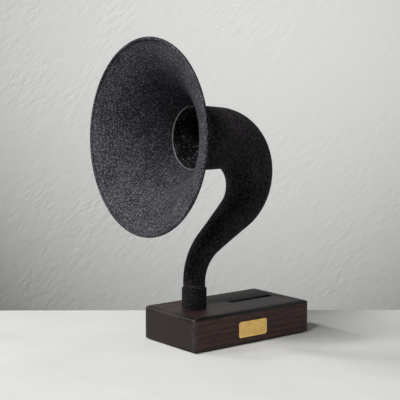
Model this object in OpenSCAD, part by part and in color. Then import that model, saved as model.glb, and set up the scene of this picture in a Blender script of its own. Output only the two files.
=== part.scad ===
/* [Base] */
// Length of the wooden base
base_len = 201; // [185:1:260]
// Width of the wooden base, front to back
base_wid = 110; // [80:1:160]
// Height of the base's top face above the table
base_h = 46; // [42:0.5:70]
// Rounding of the base's top edges at its two ends
end_edge_r = 8; // [2:0.5:9]
// Rounding of the base's top edges at front and back
long_edge_r = 4.5; // [2:0.5:9]
// Rounding of the base's upright edges
corner_r = 4.5; // [2:0.5:6]
// Rounding of the base's lower edges
foot_edge_r = 3; // [1:0.25:4]
// Thickness of the felt sheet under the base
felt_t = 1.5; // [1:0.25:3]
// Distance from the felt's edge to the rim of the base's flat underside
felt_inset = 0.5; // [0.25:0.25:5]

/* [Phone slot] */
// Length of the slot, for the width of a phone
slot_len = 78; // [60:1:84]
// Width of the slot, for the thickness of a phone
slot_wid = 10; // [8:0.5:16]
// Distance from the slot to the base's end
slot_from_end = 20.5; // [16:0.5:30]
// Depth of the slot from the base's top face
slot_depth = 24; // [16:0.5:25]
// Chamfer round the slot's mouth
slot_ease = 0.8; // [0.2:0.1:2]
// Length of the ledge at each end of the slot's floor, where the phone rests
ledge_len = 10; // [6:0.5:16]
// Width of the window between the ledges, down to the sound channel
window_wid = 7; // [5:0.5:8]
// Thickness of those ledges, down to the sound channel
ledge_t = 4; // [3:0.5:5]
// Thickness of the felt pads on the ledges
pad_t = 1.5; // [0.5:0.25:3]

/* [Sound channel] */
// Width of the channel milled into the underside
channel_wid = 36; // [34:1:44]
// How far the channel runs past the slot's window
channel_past = 6; // [2:0.5:8]
// Thickness of the board that closes the channel
cover_t = 4; // [3:0.5:5]
// How far that board laps over the wood round the channel
cover_lap = 8; // [7:0.5:10]
// Gap round the board's edge
cover_gap = 0.25; // [0.1:0.05:0.5]

/* [Cover screws] */
// Radius of the countersunk screw heads
screw_head_r = 3.2; // [2.6:0.1:3.4]
// Radius of the screws' shanks
screw_r = 1.6; // [1.2:0.1:1.8]
// Length of the screws, head included
screw_len = 14; // [10:1:18]
// How far the shank is larger than its pilot hole
screw_bite = 0.3; // [0.1:0.05:0.4]

/* [Collar and its fixing] */
// Distance from the horn's upright axis to the base's other end
collar_from_end = 42.5; // [38:0.5:50]
// Outer diameter of the collar
collar_od = 33.2; // [31:0.1:40]
// Height of the collar's top above the base
collar_rise = 28; // [20:0.5:40]
// Wall of the collar
collar_wall = 2.55; // [1.5:0.05:3]
// Thickness of the collar's floor
collar_floor = 5; // [4:0.5:8]
// Rounding of the collar's top edge
collar_edge_r = 1.2; // [0.4:0.1:1.4]
// Thickness of the lip inside the floor, over the tube's end
collar_lip = 1.2; // [0.8:0.1:2]
// Thickness of the gasket under the collar
gasket_t = 1; // [0.5:0.25:2]
// Distance from the collar's side to the gasket's edge
gasket_inset = 0.3; // [0.2:0.1:2]
// Outer diameter of the fixing tube through the base
tube_od = 20; // [16:0.5:22]
// Wall of the fixing tube
tube_wall = 1.6; // [1:0.1:2.5]
// How far the tube stands out below its nut
tube_out = 1.5; // [0.5:0.25:2]
// Outer diameter of the washer
washer_od = 31; // [28:0.5:32]
// Thickness of the washer
washer_t = 1.5; // [1:0.25:2]
// Width of the nut across its flats
nut_af = 26; // [25:0.5:28]
// Thickness of the nut
nut_t = 5; // [4:0.5:6]
// Radial clearance of a fixed piece in its hole
hole_gap = 0.2; // [0.05:0.05:0.5]
// Radial clearance of a running fit
run_gap = 0.05; // [0.02:0.01:0.1]

/* [Bush and spigot] */
// Wall of the bush that turns in the collar
bush_wall = 1.5; // [1:0.1:2]
// Wall of the horn's spigot
spigot_wall = 1.65; // [1.2:0.05:2.5]
// Thickness of the shoulder between spigot and neck
shoulder_t = 2; // [1:0.25:4]
// How far the spigot's end stays off the collar's floor
spigot_off = 0.5; // [0.3:0.1:2]

/* [Neck] */
// Outer radius of the neck at its foot
foot_r = 14.75; // [13:0.25:15]
// Outer radius of the neck at its upper end
throat_r = 42.5; // [34:0.5:46]
// Wall of the neck
neck_wall = 2; // [1.5:0.1:3]
// Upright run above the shoulder
neck_rise = 5; // [2:0.5:20]
// Radius of the lower bend
low_bend_r = 66; // [50:1:90]
// Turn of the lower bend, in degrees
low_bend_turn = 52.5; // [40:0.5:60]
// Straight run between the bends
neck_run = 58.8; // [40:0.2:80]
// Radius of the upper bend
top_bend_r = 57; // [50:1:70]
// Straight run from the upper bend to the bell
neck_end = 36.6; // [24:0.2:50]
// How far the horn's mouth tips up, in degrees
horn_tilt = 2.2; // [0:0.1:10]

/* [Bell] */
// Outer diameter of the bell's mouth
bell_d = 254; // [220:1:280]
// Depth of the bell, from its mouth to the throat
bell_depth = 78.5; // [65:0.5:95]
// Thickness of the bell's sheet
bell_t = 1.6; // [1.2:0.1:2.4]
// Radius of the rolled rim
rim_r = 1.4; // [1.2:0.1:2.5]
// Angle of the flare to the horn's axis at the mouth
mouth_slope = 76.5; // [60:0.5:82]
// Pull of the flare's curve at the mouth
mouth_pull = 42; // [30:1:50]
// Angle of the flare to the horn's axis at the throat
throat_slope = 27; // [20:0.5:35]
// Pull of the flare's curve at the throat
throat_pull = 32; // [24:1:38]
// How far the throat ring stands out from the neck
ring_step = 0.5; // [0.3:0.1:1.5]
// Length of the ring's sleeve behind the bell
ring_sleeve = 6; // [4:0.5:12]
// How far the ring's nose stands into the bell
ring_nose = 2; // [1.5:0.25:6]
// Interference of the pressed joint between ring and bell
press = 0.02; // [0.01:0.01:0.05]

/* [Name plate] */
// Length of the plate
plate_len = 49; // [40:0.5:60]
// Height of the plate
plate_h = 21.5; // [16:0.5:24]
// Thickness of the plate
plate_t = 1; // [0.6:0.1:2]
// Corner radius of the plate
plate_r = 3.5; // [2:0.25:6]
// Width of the plate's raised border
plate_border = 1.6; // [1:0.1:1.9]
// How far the plate's field lies below its border
plate_sunk = 0.25; // [0.1:0.05:0.4]
// Place of the plate's middle along the base
plate_x = -2.5; // [-40:0.5:40]
// Height of the plate's middle above the table
plate_z = 21; // [18:0.5:24]
// Thickness of the tape behind the plate
tape_t = 0.3; // [0.1:0.05:0.6]
// Distance from the plate's side to the tape's edge
tape_inset = 1; // [0.5:0.25:1.5]

/* [Hidden] */
$fn = 96;

// Overshoot of a cut past the face it opens
cut = 1;
// Rings along the neck, sides round it and steps along the flare
neck_rings = 48;
neck_sides = 40;
flare_steps = 28;

// Places along the base
slot_x = base_len / 2 - slot_from_end - slot_len / 2;
collar_x = collar_from_end - base_len / 2;

// Heights in the base
block_h = base_h - felt_t;
slot_floor_z = base_h - slot_depth;
channel_roof_z = slot_floor_z - ledge_t;
cover_top_z = felt_t + cover_t;
felt_edge = foot_edge_r + felt_inset;

// Ends of the slot's window and of the channel
window_len = slot_len - 2 * ledge_len;
channel_left = collar_x - channel_wid / 2;
channel_right = slot_x + window_len / 2 + channel_past;
channel_len = channel_right - channel_left;
channel_x = (channel_left + channel_right) / 2;
rabbet_len = channel_len + 2 * cover_lap;
rabbet_wid = channel_wid + 2 * cover_lap;

// Screws stand in the middle of the lap, at the ends of the channel's straight sides
screw_dx = (channel_len - channel_wid) / 2;
screw_dy = (channel_wid + cover_lap) / 2;
screw_sides = [[-1, -1], [1, -1], [-1, 1], [1, 1]];

// Radii and heights of the collar, bush and spigot
collar_r = collar_od / 2;
collar_z = base_h + gasket_t;
collar_top_z = base_h + collar_rise;
collar_h = collar_top_z - collar_z;
collar_bore_r = collar_r - collar_wall;
tube_r = tube_od / 2;
tube_in_r = tube_r - tube_wall;
tube_top_z = collar_z + collar_floor - collar_lip;
nut_z = channel_roof_z - washer_t - nut_t;
bush_z = collar_z + collar_floor;
bush_r = collar_bore_r - run_gap;
bush_in_r = bush_r - bush_wall;
spigot_r = bush_in_r - run_gap;
neck_z = collar_top_z + shoulder_t;

// Lengths along the neck, and its place and heading where each stretch ends
top_bend_turn = 90 - horn_tilt + low_bend_turn;
rise_end = neck_rise;
low_end = rise_end + arc_length(low_bend_r, low_bend_turn);
run_end = low_end + neck_run;
top_end = run_end + arc_length(top_bend_r, top_bend_turn);
neck_length = top_end + neck_end;
foot = [collar_x, neck_z, 90];
rise_top = straight(foot, neck_rise);
low_top = bend(rise_top, low_bend_r, -low_bend_turn);
run_top = straight(low_top, neck_run);
bend_top = bend(run_top, top_bend_r, top_bend_turn);
neck_tip = straight(bend_top, neck_end);

// The bell's throat and mouth, as distances from the neck's tip
bell_throat_r = throat_r + ring_step;
mouth_w = ring_sleeve + bell_depth;
rim_place = [bell_d / 2 - rim_r, mouth_w - rim_r];
flare_start = rim_place - bell_t / 2 * [cos(mouth_slope), -sin(mouth_slope)];
flare_end = [bell_throat_r, ring_sleeve];

// Place and heading in the neck's plane, after a straight run or a bend to the left
function straight(pose, run) = [pose[0] + run * cos(pose[2]), pose[1] + run * sin(pose[2]), pose[2]];
function bend(pose, radius, turn) =
    let (side = sign(turn) * radius, next = pose[2] + turn)
    [pose[0] + side * (sin(next) - sin(pose[2])), pose[1] - side * (cos(next) - cos(pose[2])), next];
function arc_length(radius, turn) = radius * turn * PI / 180;
function arc_turn(radius, run) = run / radius * 180 / PI;

// Place and heading at a distance along the neck
function neck_at(s) =
    s < rise_end ? straight(foot, s) :
    s < low_end ? bend(rise_top, low_bend_r, -arc_turn(low_bend_r, s - rise_end)) :
    s < run_end ? straight(low_top, s - low_end) :
    s < top_end ? bend(run_top, top_bend_r, arc_turn(top_bend_r, s - run_end)) :
    straight(bend_top, s - top_end);

// The neck swells from foot to throat along a smooth step
function smooth(t) = t * t * (3 - 2 * t);
function neck_r(s) = foot_r + (throat_r - foot_r) * smooth(s / neck_length);

// Points of the ring round the neck at a distance along it
function neck_ring(s, inset) =
    let (pose = neck_at(s), r = neck_r(s) - inset)
    [for (i = [0:neck_sides - 1])
        let (a = 360 * i / neck_sides)
        [pose[0] - r * cos(a) * sin(pose[2]), r * sin(a), pose[1] + r * cos(a) * cos(pose[2])]];
function neck_skin(inset) =
    [for (k = [0:neck_rings - 1]) each neck_ring(neck_length * k / (neck_rings - 1), inset)];

// Triangles between two rings of points that start at indices a and b
function band(a, b) =
    [for (i = [0:neck_sides - 1])
        let (j = (i + 1) % neck_sides)
        each [[a + i, b + i, b + j], [a + i, b + j, a + j]]];

// Point and outward normal of the flare, from mouth to throat
function mix(a, b, t) = a + (b - a) * t;
function flare_handles() =
    [flare_start,
     flare_start - mouth_pull * [sin(mouth_slope), cos(mouth_slope)],
     flare_end + throat_pull * [sin(throat_slope), cos(throat_slope)],
     flare_end];
function flare_legs(t) =
    let (h = flare_handles(), a = mix(h[0], h[1], t), b = mix(h[1], h[2], t), c = mix(h[2], h[3], t))
    [mix(a, b, t), mix(b, c, t)];
function flare_point(t) =
    let (legs = flare_legs(t))
    mix(legs[0], legs[1], t);
function flare_normal(t) =
    let (legs = flare_legs(t), along = (legs[1] - legs[0]) / norm(legs[1] - legs[0]))
    [-along[1], along[0]];

// Flat slot with round ends, centred
module stadium(len, wid) {
    square([len - wid, wid], center = true);
    for (side = [-1, 1])
        translate([side * (len - wid) / 2, 0]) circle(d = wid);
}

// Rectangle with four round corners, centred
module round_rect(len, wid, r) {
    square([len - 2 * r, wid], center = true);
    square([len, wid - 2 * r], center = true);
    for (x = [-1, 1], y = [-1, 1])
        translate([x * (len / 2 - r), y * (wid / 2 - r)]) circle(r);
}

// Side view of the block, with its top and lower edges rounded
module edge_profile(len, top_r) {
    translate([-len / 2, foot_edge_r]) square([len, block_h - top_r - foot_edge_r]);
    translate([top_r - len / 2, 0]) square([len - 2 * top_r, block_h]);
    translate([foot_edge_r - len / 2, 0]) square([len - 2 * foot_edge_r, block_h - top_r]);
    for (side = [-1, 1]) {
        translate([side * (len / 2 - top_r), block_h - top_r]) circle(top_r);
        translate([side * (len / 2 - foot_edge_r), foot_edge_r]) circle(foot_edge_r);
    }
}

// Block with every edge rounded, standing on the felt
module rounded_block() {
    translate([0, 0, felt_t]) intersection() {
        linear_extrude(block_h) round_rect(base_len, base_wid, corner_r);
        rotate([90, 0, 0]) linear_extrude(base_wid, center = true) edge_profile(base_len, end_edge_r);
        rotate([90, 0, 90]) linear_extrude(base_len, center = true) edge_profile(base_wid, long_edge_r);
    }
}

// Cut for the phone, with a chamfered mouth
module slot_cut() {
    straight_len = slot_len - slot_wid;
    translate([slot_x, 0, slot_floor_z]) linear_extrude(slot_depth + cut) stadium(slot_len, slot_wid);
    translate([slot_x, 0, base_h - slot_ease]) {
        for (side = [-1, 1])
            translate([side * straight_len / 2, 0, 0])
                cylinder(h = slot_ease, r1 = slot_wid / 2, r2 = slot_wid / 2 + slot_ease);
        rotate([90, 0, 90]) linear_extrude(straight_len, center = true)
            polygon([[-slot_wid / 2, 0], [slot_wid / 2, 0],
                [slot_wid / 2 + slot_ease, slot_ease], [-slot_wid / 2 - slot_ease, slot_ease]]);
    }
}

// Places of the cover's screws
module at_screw(side) {
    translate([channel_x + side[0] * screw_dx, side[1] * screw_dy, felt_t]) children();
}

// One countersunk screw, head down
module screw() {
    head_h = screw_head_r - screw_r;
    tip_h = 2 * screw_r;
    color("silver") {
        cylinder(h = head_h, r1 = screw_head_r, r2 = screw_r);
        cylinder(h = screw_len - tip_h, r = screw_r);
        translate([0, 0, screw_len - tip_h]) cylinder(h = tip_h, r1 = screw_r, r2 = screw_r / 4);
    }
}

// Piece turned about the collar's upright axis
module at_collar(z) {
    translate([collar_x, 0, z]) children();
}

// Round tube standing on the plane where it is placed
module tube(r, in_r, h) {
    difference() {
        cylinder(h = h, r = r);
        translate([0, 0, -cut]) cylinder(h = h + 2 * cut, r = in_r);
    }
}

// Piece turned about the horn's own axis, from the neck's tip towards the mouth
module at_horn() {
    translate([neck_tip[0], 0, neck_tip[1]]) rotate([0, horn_tilt - 90, 0]) children();
}

module base_block() {
    color([0.13, 0.1, 0.09]) difference() {
        rounded_block();
        slot_cut();
        translate([slot_x, 0, channel_roof_z - cut]) linear_extrude(ledge_t + 2 * cut) stadium(window_len, window_wid);
        translate([channel_x, 0, 0]) linear_extrude(channel_roof_z) stadium(channel_len, channel_wid);
        translate([channel_x, 0, 0]) linear_extrude(cover_top_z) stadium(rabbet_len, rabbet_wid);
        at_collar(0) cylinder(h = base_h + cut, r = tube_r + hole_gap);
        for (side = screw_sides)
            at_screw(side) cylinder(h = screw_len + cut, r = screw_r - screw_bite);
    }
}

module channel_cover() {
    color([0.45, 0.32, 0.2]) difference() {
        translate([channel_x, 0, felt_t]) linear_extrude(cover_t)
            stadium(rabbet_len - 2 * cover_gap, rabbet_wid - 2 * cover_gap);
        for (side = screw_sides)
            at_screw(side) {
                translate([0, 0, -cut]) cylinder(h = cover_t + 2 * cut, r = screw_r);
                cylinder(h = screw_head_r - screw_r, r1 = screw_head_r, r2 = screw_r);
            }
    }
}

module cover_screw(index) {
    at_screw(screw_sides[index]) screw();
}

module base_felt() {
    color([0.08, 0.08, 0.08])
        linear_extrude(felt_t)
            round_rect(base_len - 2 * felt_edge, base_wid - 2 * felt_edge, corner_r);
}

module slot_pad(side) {
    color([0.1, 0.1, 0.1]) translate([slot_x, 0, slot_floor_z]) linear_extrude(pad_t) intersection() {
        stadium(slot_len - 2 * hole_gap, slot_wid - 2 * hole_gap);
        translate([side * (slot_len - ledge_len) / 2, 0]) square([ledge_len, slot_wid], center = true);
    }
}

module name_plate() {
    color([0.85, 0.66, 0.3])
        translate([plate_x, -base_wid / 2 - tape_t, plate_z]) rotate([90, 0, 0]) difference() {
            linear_extrude(plate_t) round_rect(plate_len, plate_h, plate_r);
            translate([0, 0, plate_t - plate_sunk]) linear_extrude(plate_sunk + cut)
                round_rect(plate_len - 2 * plate_border, plate_h - 2 * plate_border, plate_r - plate_border);
        }
}

module plate_tape() {
    color([0.75, 0.75, 0.7])
        translate([plate_x, -base_wid / 2, plate_z]) rotate([90, 0, 0]) linear_extrude(tape_t)
            round_rect(plate_len - 2 * tape_inset, plate_h - 2 * tape_inset, plate_r - tape_inset);
}

module collar_gasket() {
    color([0.05, 0.05, 0.05]) at_collar(base_h) tube(collar_r - gasket_inset, tube_r + hole_gap, gasket_t);
}

module socket_collar() {
    color([0.1, 0.1, 0.11]) at_collar(collar_z) rotate_extrude() difference() {
        union() {
            square([collar_r, collar_h - collar_edge_r]);
            square([collar_r - collar_edge_r, collar_h]);
            translate([collar_r - collar_edge_r, collar_h - collar_edge_r]) circle(collar_edge_r);
        }
        translate([0, collar_floor]) square([collar_bore_r, collar_h]);
        translate([0, -cut]) square([tube_r + run_gap, collar_floor - collar_lip + cut]);
        square([tube_in_r, collar_h]);
        translate([-collar_r, -cut]) square([collar_r, collar_h + 2 * cut]);
    }
}

module socket_tube() {
    tube_z = nut_z - tube_out;
    color("silver") at_collar(tube_z) tube(tube_r, tube_in_r, tube_top_z - tube_z);
}

module socket_washer() {
    color("silver") at_collar(channel_roof_z - washer_t) tube(washer_od / 2, tube_r + hole_gap, washer_t);
}

module lock_nut() {
    color("silver") at_collar(nut_z) difference() {
        cylinder(h = nut_t, r = nut_af / 2 / cos(30), $fn = 6);
        translate([0, 0, -cut]) cylinder(h = nut_t + 2 * cut, r = tube_r + run_gap);
    }
}

module neck_bush() {
    color([0.85, 0.84, 0.8]) at_collar(bush_z) tube(bush_r, bush_in_r, collar_top_z - bush_z);
}

module neck_spigot() {
    spigot_z = bush_z + spigot_off;
    color([0.12, 0.12, 0.13]) at_collar(spigot_z) difference() {
        union() {
            cylinder(h = neck_z - spigot_z, r = spigot_r);
            translate([0, 0, collar_top_z - spigot_z]) cylinder(h = shoulder_t, r = foot_r);
        }
        translate([0, 0, -cut]) cylinder(h = neck_z - spigot_z + 2 * cut, r = spigot_r - spigot_wall);
    }
}

module swan_neck() {
    skin = neck_rings * neck_sides;
    last = skin - neck_sides;
    outside = [for (k = [0:neck_rings - 2]) each band(k * neck_sides, (k + 1) * neck_sides)];
    inside = [for (k = [0:neck_rings - 2]) each band(skin + (k + 1) * neck_sides, skin + k * neck_sides)];
    color([0.12, 0.12, 0.13]) polyhedron(
        points = concat(neck_skin(0), neck_skin(neck_wall)),
        faces = concat(outside, inside, band(skin, 0), band(last, skin + last)));
}

module throat_ring() {
    ring_in_r = throat_r - neck_wall;
    ring_out_r = bell_throat_r + press;
    nose_r = (ring_out_r - ring_in_r) / 2;
    ring_len = ring_sleeve + ring_nose;
    color([0.2, 0.2, 0.21]) at_horn() rotate_extrude() {
        translate([ring_in_r, 0]) square([2 * nose_r, ring_len - nose_r]);
        translate([ring_in_r + nose_r, ring_len - nose_r]) circle(nose_r);
    }
}

module horn_bell() {
    inner = [for (i = [0:flare_steps]) flare_point(i / flare_steps)];
    outer = [for (i = [flare_steps:-1:0]) flare_point(i / flare_steps) + bell_t * flare_normal(i / flare_steps)];
    color([0.14, 0.14, 0.15]) at_horn() rotate_extrude() {
        polygon(concat(inner, outer));
        translate([bell_throat_r, 0]) square([bell_t, ring_sleeve]);
        translate(rim_place) circle(rim_r);
    }
}

base_block();
channel_cover();
cover_screw(0);  // cover_screw_1
cover_screw(1);  // cover_screw_2
cover_screw(2);  // cover_screw_3
cover_screw(3);  // cover_screw_4
base_felt();
slot_pad(-1);  // slot_pad_left
slot_pad(1);  // slot_pad_right
name_plate();
plate_tape();
collar_gasket();
socket_collar();
socket_tube();
socket_washer();
lock_nut();
neck_bush();
neck_spigot();
swan_neck();
throat_ring();
horn_bell();
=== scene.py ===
import bpy
import bmesh
import math
from mathutils import Matrix, Vector, noise


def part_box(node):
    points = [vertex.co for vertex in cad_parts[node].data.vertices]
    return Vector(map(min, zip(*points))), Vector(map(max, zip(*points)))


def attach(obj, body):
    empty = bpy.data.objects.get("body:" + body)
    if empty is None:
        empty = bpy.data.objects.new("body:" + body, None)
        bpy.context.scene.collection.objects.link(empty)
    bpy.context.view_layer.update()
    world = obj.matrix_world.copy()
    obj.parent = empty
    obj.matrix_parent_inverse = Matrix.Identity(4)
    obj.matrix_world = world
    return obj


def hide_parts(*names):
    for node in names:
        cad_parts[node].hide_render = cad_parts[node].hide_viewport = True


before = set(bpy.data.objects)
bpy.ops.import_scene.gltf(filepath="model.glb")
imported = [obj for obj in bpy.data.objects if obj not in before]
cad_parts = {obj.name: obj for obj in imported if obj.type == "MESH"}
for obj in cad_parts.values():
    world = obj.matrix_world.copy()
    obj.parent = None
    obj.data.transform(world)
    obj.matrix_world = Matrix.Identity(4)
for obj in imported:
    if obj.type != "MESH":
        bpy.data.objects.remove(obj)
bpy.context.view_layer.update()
mm = 0.001
weld = 1e-7  # points nearer than this are one point
creaseAngle = 32  # degrees, sharper edges stay crisp
print("frame loaded:", len(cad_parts), "nodes")


# Mesh helpers

def inScene(name, data):
    thing = bpy.data.objects.new(name, data)
    bpy.context.scene.collection.objects.link(thing)
    return thing


def meshPiece(name, points, faces):
    mesh = bpy.data.meshes.new(name)
    mesh.from_pydata([tuple(p) for p in points], [], faces)
    return inScene(name, mesh)


def tidyMesh(piece, mergeBy=weld):
    # doubles merged, faces turned outwards
    work = bmesh.new()
    work.from_mesh(piece.data)
    bmesh.ops.remove_doubles(work, verts=work.verts, dist=mergeBy)
    bmesh.ops.dissolve_degenerate(work, edges=work.edges, dist=mergeBy)
    if work.calc_volume(signed=True) < 0:
        bmesh.ops.reverse_faces(work, faces=work.faces)
    work.to_mesh(piece.data)
    work.free()
    piece.data.update()


def softenShading(piece, crease=creaseAngle):
    for face in piece.data.polygons:
        face.use_smooth = True
    piece.data.set_sharp_from_angle(angle=math.radians(crease))


def plainMesh(piece):
    # the evaluated result as a mesh of its own, with the modifiers gone
    graph = bpy.context.evaluated_depsgraph_get()
    made = bpy.data.meshes.new_from_object(piece.evaluated_get(graph))
    piece.modifiers.clear()
    if piece.type == "MESH":
        piece.data = made
        return piece
    solid = inScene(piece.name + "Solid", made)
    bpy.data.objects.remove(piece)
    return solid


def turnedPiece(name, outline, steps, place):
    # closed outline of (radius, height) turned about the place's own z axis
    count = len(outline)
    points = []
    for i in range(steps):
        a = 2 * math.pi * i / steps
        points += [place @ Vector((r * math.cos(a), r * math.sin(a), z)) for r, z in outline]
    faces = []
    for i in range(steps):
        j = (i + 1) % steps
        for k in range(count):
            m = (k + 1) % count
            faces.append((i * count + k, j * count + k, j * count + m, i * count + m))
    piece = meshPiece(name, points, faces)
    tidyMesh(piece)
    softenShading(piece)
    return piece


def arcPoints(centre, radius, fromAngle, toAngle, steps):
    # points on an arc in an outline, angles in degrees
    turns = [math.radians(fromAngle + (toAngle - fromAngle) * i / steps) for i in range(steps + 1)]
    return [(centre[0] + radius * math.cos(a), centre[1] + radius * math.sin(a)) for a in turns]


def nodeCopy(name, node):
    # a CAD node's solid as a welded mesh; its loose triangles meet less closely
    piece = inScene(name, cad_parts[node].data.copy())
    tidyMesh(piece, 20 * weld)
    softenShading(piece)
    return piece


def dress(piece, body, material, slot, *nodes):
    # a finished piece: its material, the body that it rides on and the nodes that it stands for
    piece.data.materials.clear()
    piece.data.materials.append(material)
    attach(piece, body)
    if nodes:
        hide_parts(*nodes)


# Node helpers

class NodeSheet:
    # short names for adding and joining nodes in a shader or geometry tree
    def __init__(self, tree):
        self.tree = tree

    def add(self, kind, **settings):
        node = self.tree.nodes.new(kind)
        for key, value in settings.items():
            setattr(node, key, value)
        return node

    def join(self, source, target):
        self.tree.links.new(source, target)

    def feed(self, socket, value):
        if isinstance(value, bpy.types.NodeSocket):
            self.join(value, socket)
        else:
            socket.default_value = value

    def step(self, kind, operation, *values):
        # one maths node, fed from sockets or numbers
        node = self.add(kind, operation=operation)
        for socket, value in zip(node.inputs, values):
            self.feed(socket, value)
        return node.outputs

    def mathStep(self, operation, *values):
        return self.step("ShaderNodeMath", operation, *values)[0]

    def plus(self, first, second):
        return self.mathStep("ADD", first, second)

    def minus(self, first, second):
        return self.mathStep("SUBTRACT", first, second)

    def times(self, first, second):
        return self.mathStep("MULTIPLY", first, second)

    def over(self, first, second):
        return self.mathStep("DIVIDE", first, second)

    def power(self, first, second):
        return self.mathStep("POWER", first, second)

    def larger(self, first, second):
        return self.mathStep("MAXIMUM", first, second)

    def smaller(self, first, second):
        return self.mathStep("MINIMUM", first, second)

    def unsigned(self, value):
        return self.mathStep("ABSOLUTE", value)

    def fraction(self, value):
        return self.mathStep("FRACT", value)

    def vectorStep(self, operation, *values):
        return self.step("ShaderNodeVectorMath", operation, *values)["Vector"]

    def length(self, vector):
        return self.step("ShaderNodeVectorMath", "LENGTH", vector)["Value"]

    def apart(self, vector):
        # the three parts of a vector
        node = self.add("ShaderNodeSeparateXYZ")
        self.feed(node.inputs[0], vector)
        return node.outputs

    def coordinates(self, kind="Object"):
        return self.add("ShaderNodeTexCoord").outputs[kind]

    def noise(self, vector, scale, detail=3.0, roughness=0.55):
        node = self.add("ShaderNodeTexNoise")
        self.feed(node.inputs["Vector"], vector)
        for title, value in (("Scale", scale), ("Detail", detail), ("Roughness", roughness)):
            self.feed(node.inputs[title], value)
        return node.outputs["Fac"]

    def cells(self, vector, scale):
        node = self.add("ShaderNodeTexVoronoi", feature="F1")
        self.feed(node.inputs["Vector"], vector)
        self.feed(node.inputs["Scale"], scale)
        return node.outputs

    def remap(self, value, low, high, toLow=0.0, toHigh=1.0):
        node = self.add("ShaderNodeMapRange")
        for socket, given in zip(node.inputs, (value, low, high, toLow, toHigh)):
            self.feed(socket, given)
        return node.outputs["Result"]

    def blend(self, factor, first, second):
        node = self.add("ShaderNodeMix", data_type="RGBA")
        self.feed(node.inputs["Factor"], factor)
        for socket, value in zip([s for s in node.inputs if s.type == "RGBA"], (first, second)):
            self.feed(socket, value)
        return [s for s in node.outputs if s.type == "RGBA"][0]

    def mixShaders(self, factor, first, second):
        node = self.add("ShaderNodeMixShader")
        for socket, source in zip(node.inputs, (factor, first, second)):
            self.join(source, socket)
        return node.outputs["Shader"]


def newGroup(name, inputs, outputs, family="ShaderNodeTree"):
    tree = bpy.data.node_groups.new(name, family)
    for title, kind, value in inputs:
        socket = tree.interface.new_socket(title, in_out="INPUT", socket_type=kind)
        if value is not None:
            socket.default_value = value
    for title, kind in outputs:
        tree.interface.new_socket(title, in_out="OUTPUT", socket_type=kind)
    sheet = NodeSheet(tree)
    given, made = sheet.add("NodeGroupInput").outputs, sheet.add("NodeGroupOutput").inputs
    return tree, sheet, given, made


def newMaterial(name, group, values, bumpDepth, metalGrains=False, **shaderValues):
    # a Principled material that takes colour, roughness and height from one group, and with
    # metalGrains also where the metal shows
    material = bpy.data.materials.new(name)
    material.use_nodes = True
    sheet = NodeSheet(material.node_tree)
    shader = material.node_tree.nodes["Principled BSDF"]
    surface = sheet.add("ShaderNodeGroup", node_tree=group)
    for title, value in values.items():
        surface.inputs[title].default_value = value
    sheet.join(surface.outputs["Color"], shader.inputs["Base Color"])
    sheet.join(surface.outputs["Roughness"], shader.inputs["Roughness"])
    if metalGrains:
        sheet.join(surface.outputs["Grains"], shader.inputs["Metallic"])
    bump = sheet.add("ShaderNodeBump")
    bump.inputs["Strength"].default_value = 1.0
    bump.inputs["Distance"].default_value = bumpDepth
    sheet.join(surface.outputs["Height"], bump.inputs["Height"])
    sheet.join(bump.outputs["Normal"], shader.inputs["Normal"])
    for title, value in shaderValues.items():
        shader.inputs[title.replace("_", " ")].default_value = value
    return material


# Surface groups

colourIn, floatIn, vectorIn = "NodeSocketColor", "NodeSocketFloat", "NodeSocketVector"
surfaceOut = [("Color", colourIn), ("Roughness", floatIn), ("Height", floatIn)]
black = (0.0, 0.0, 0.0, 1)


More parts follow.
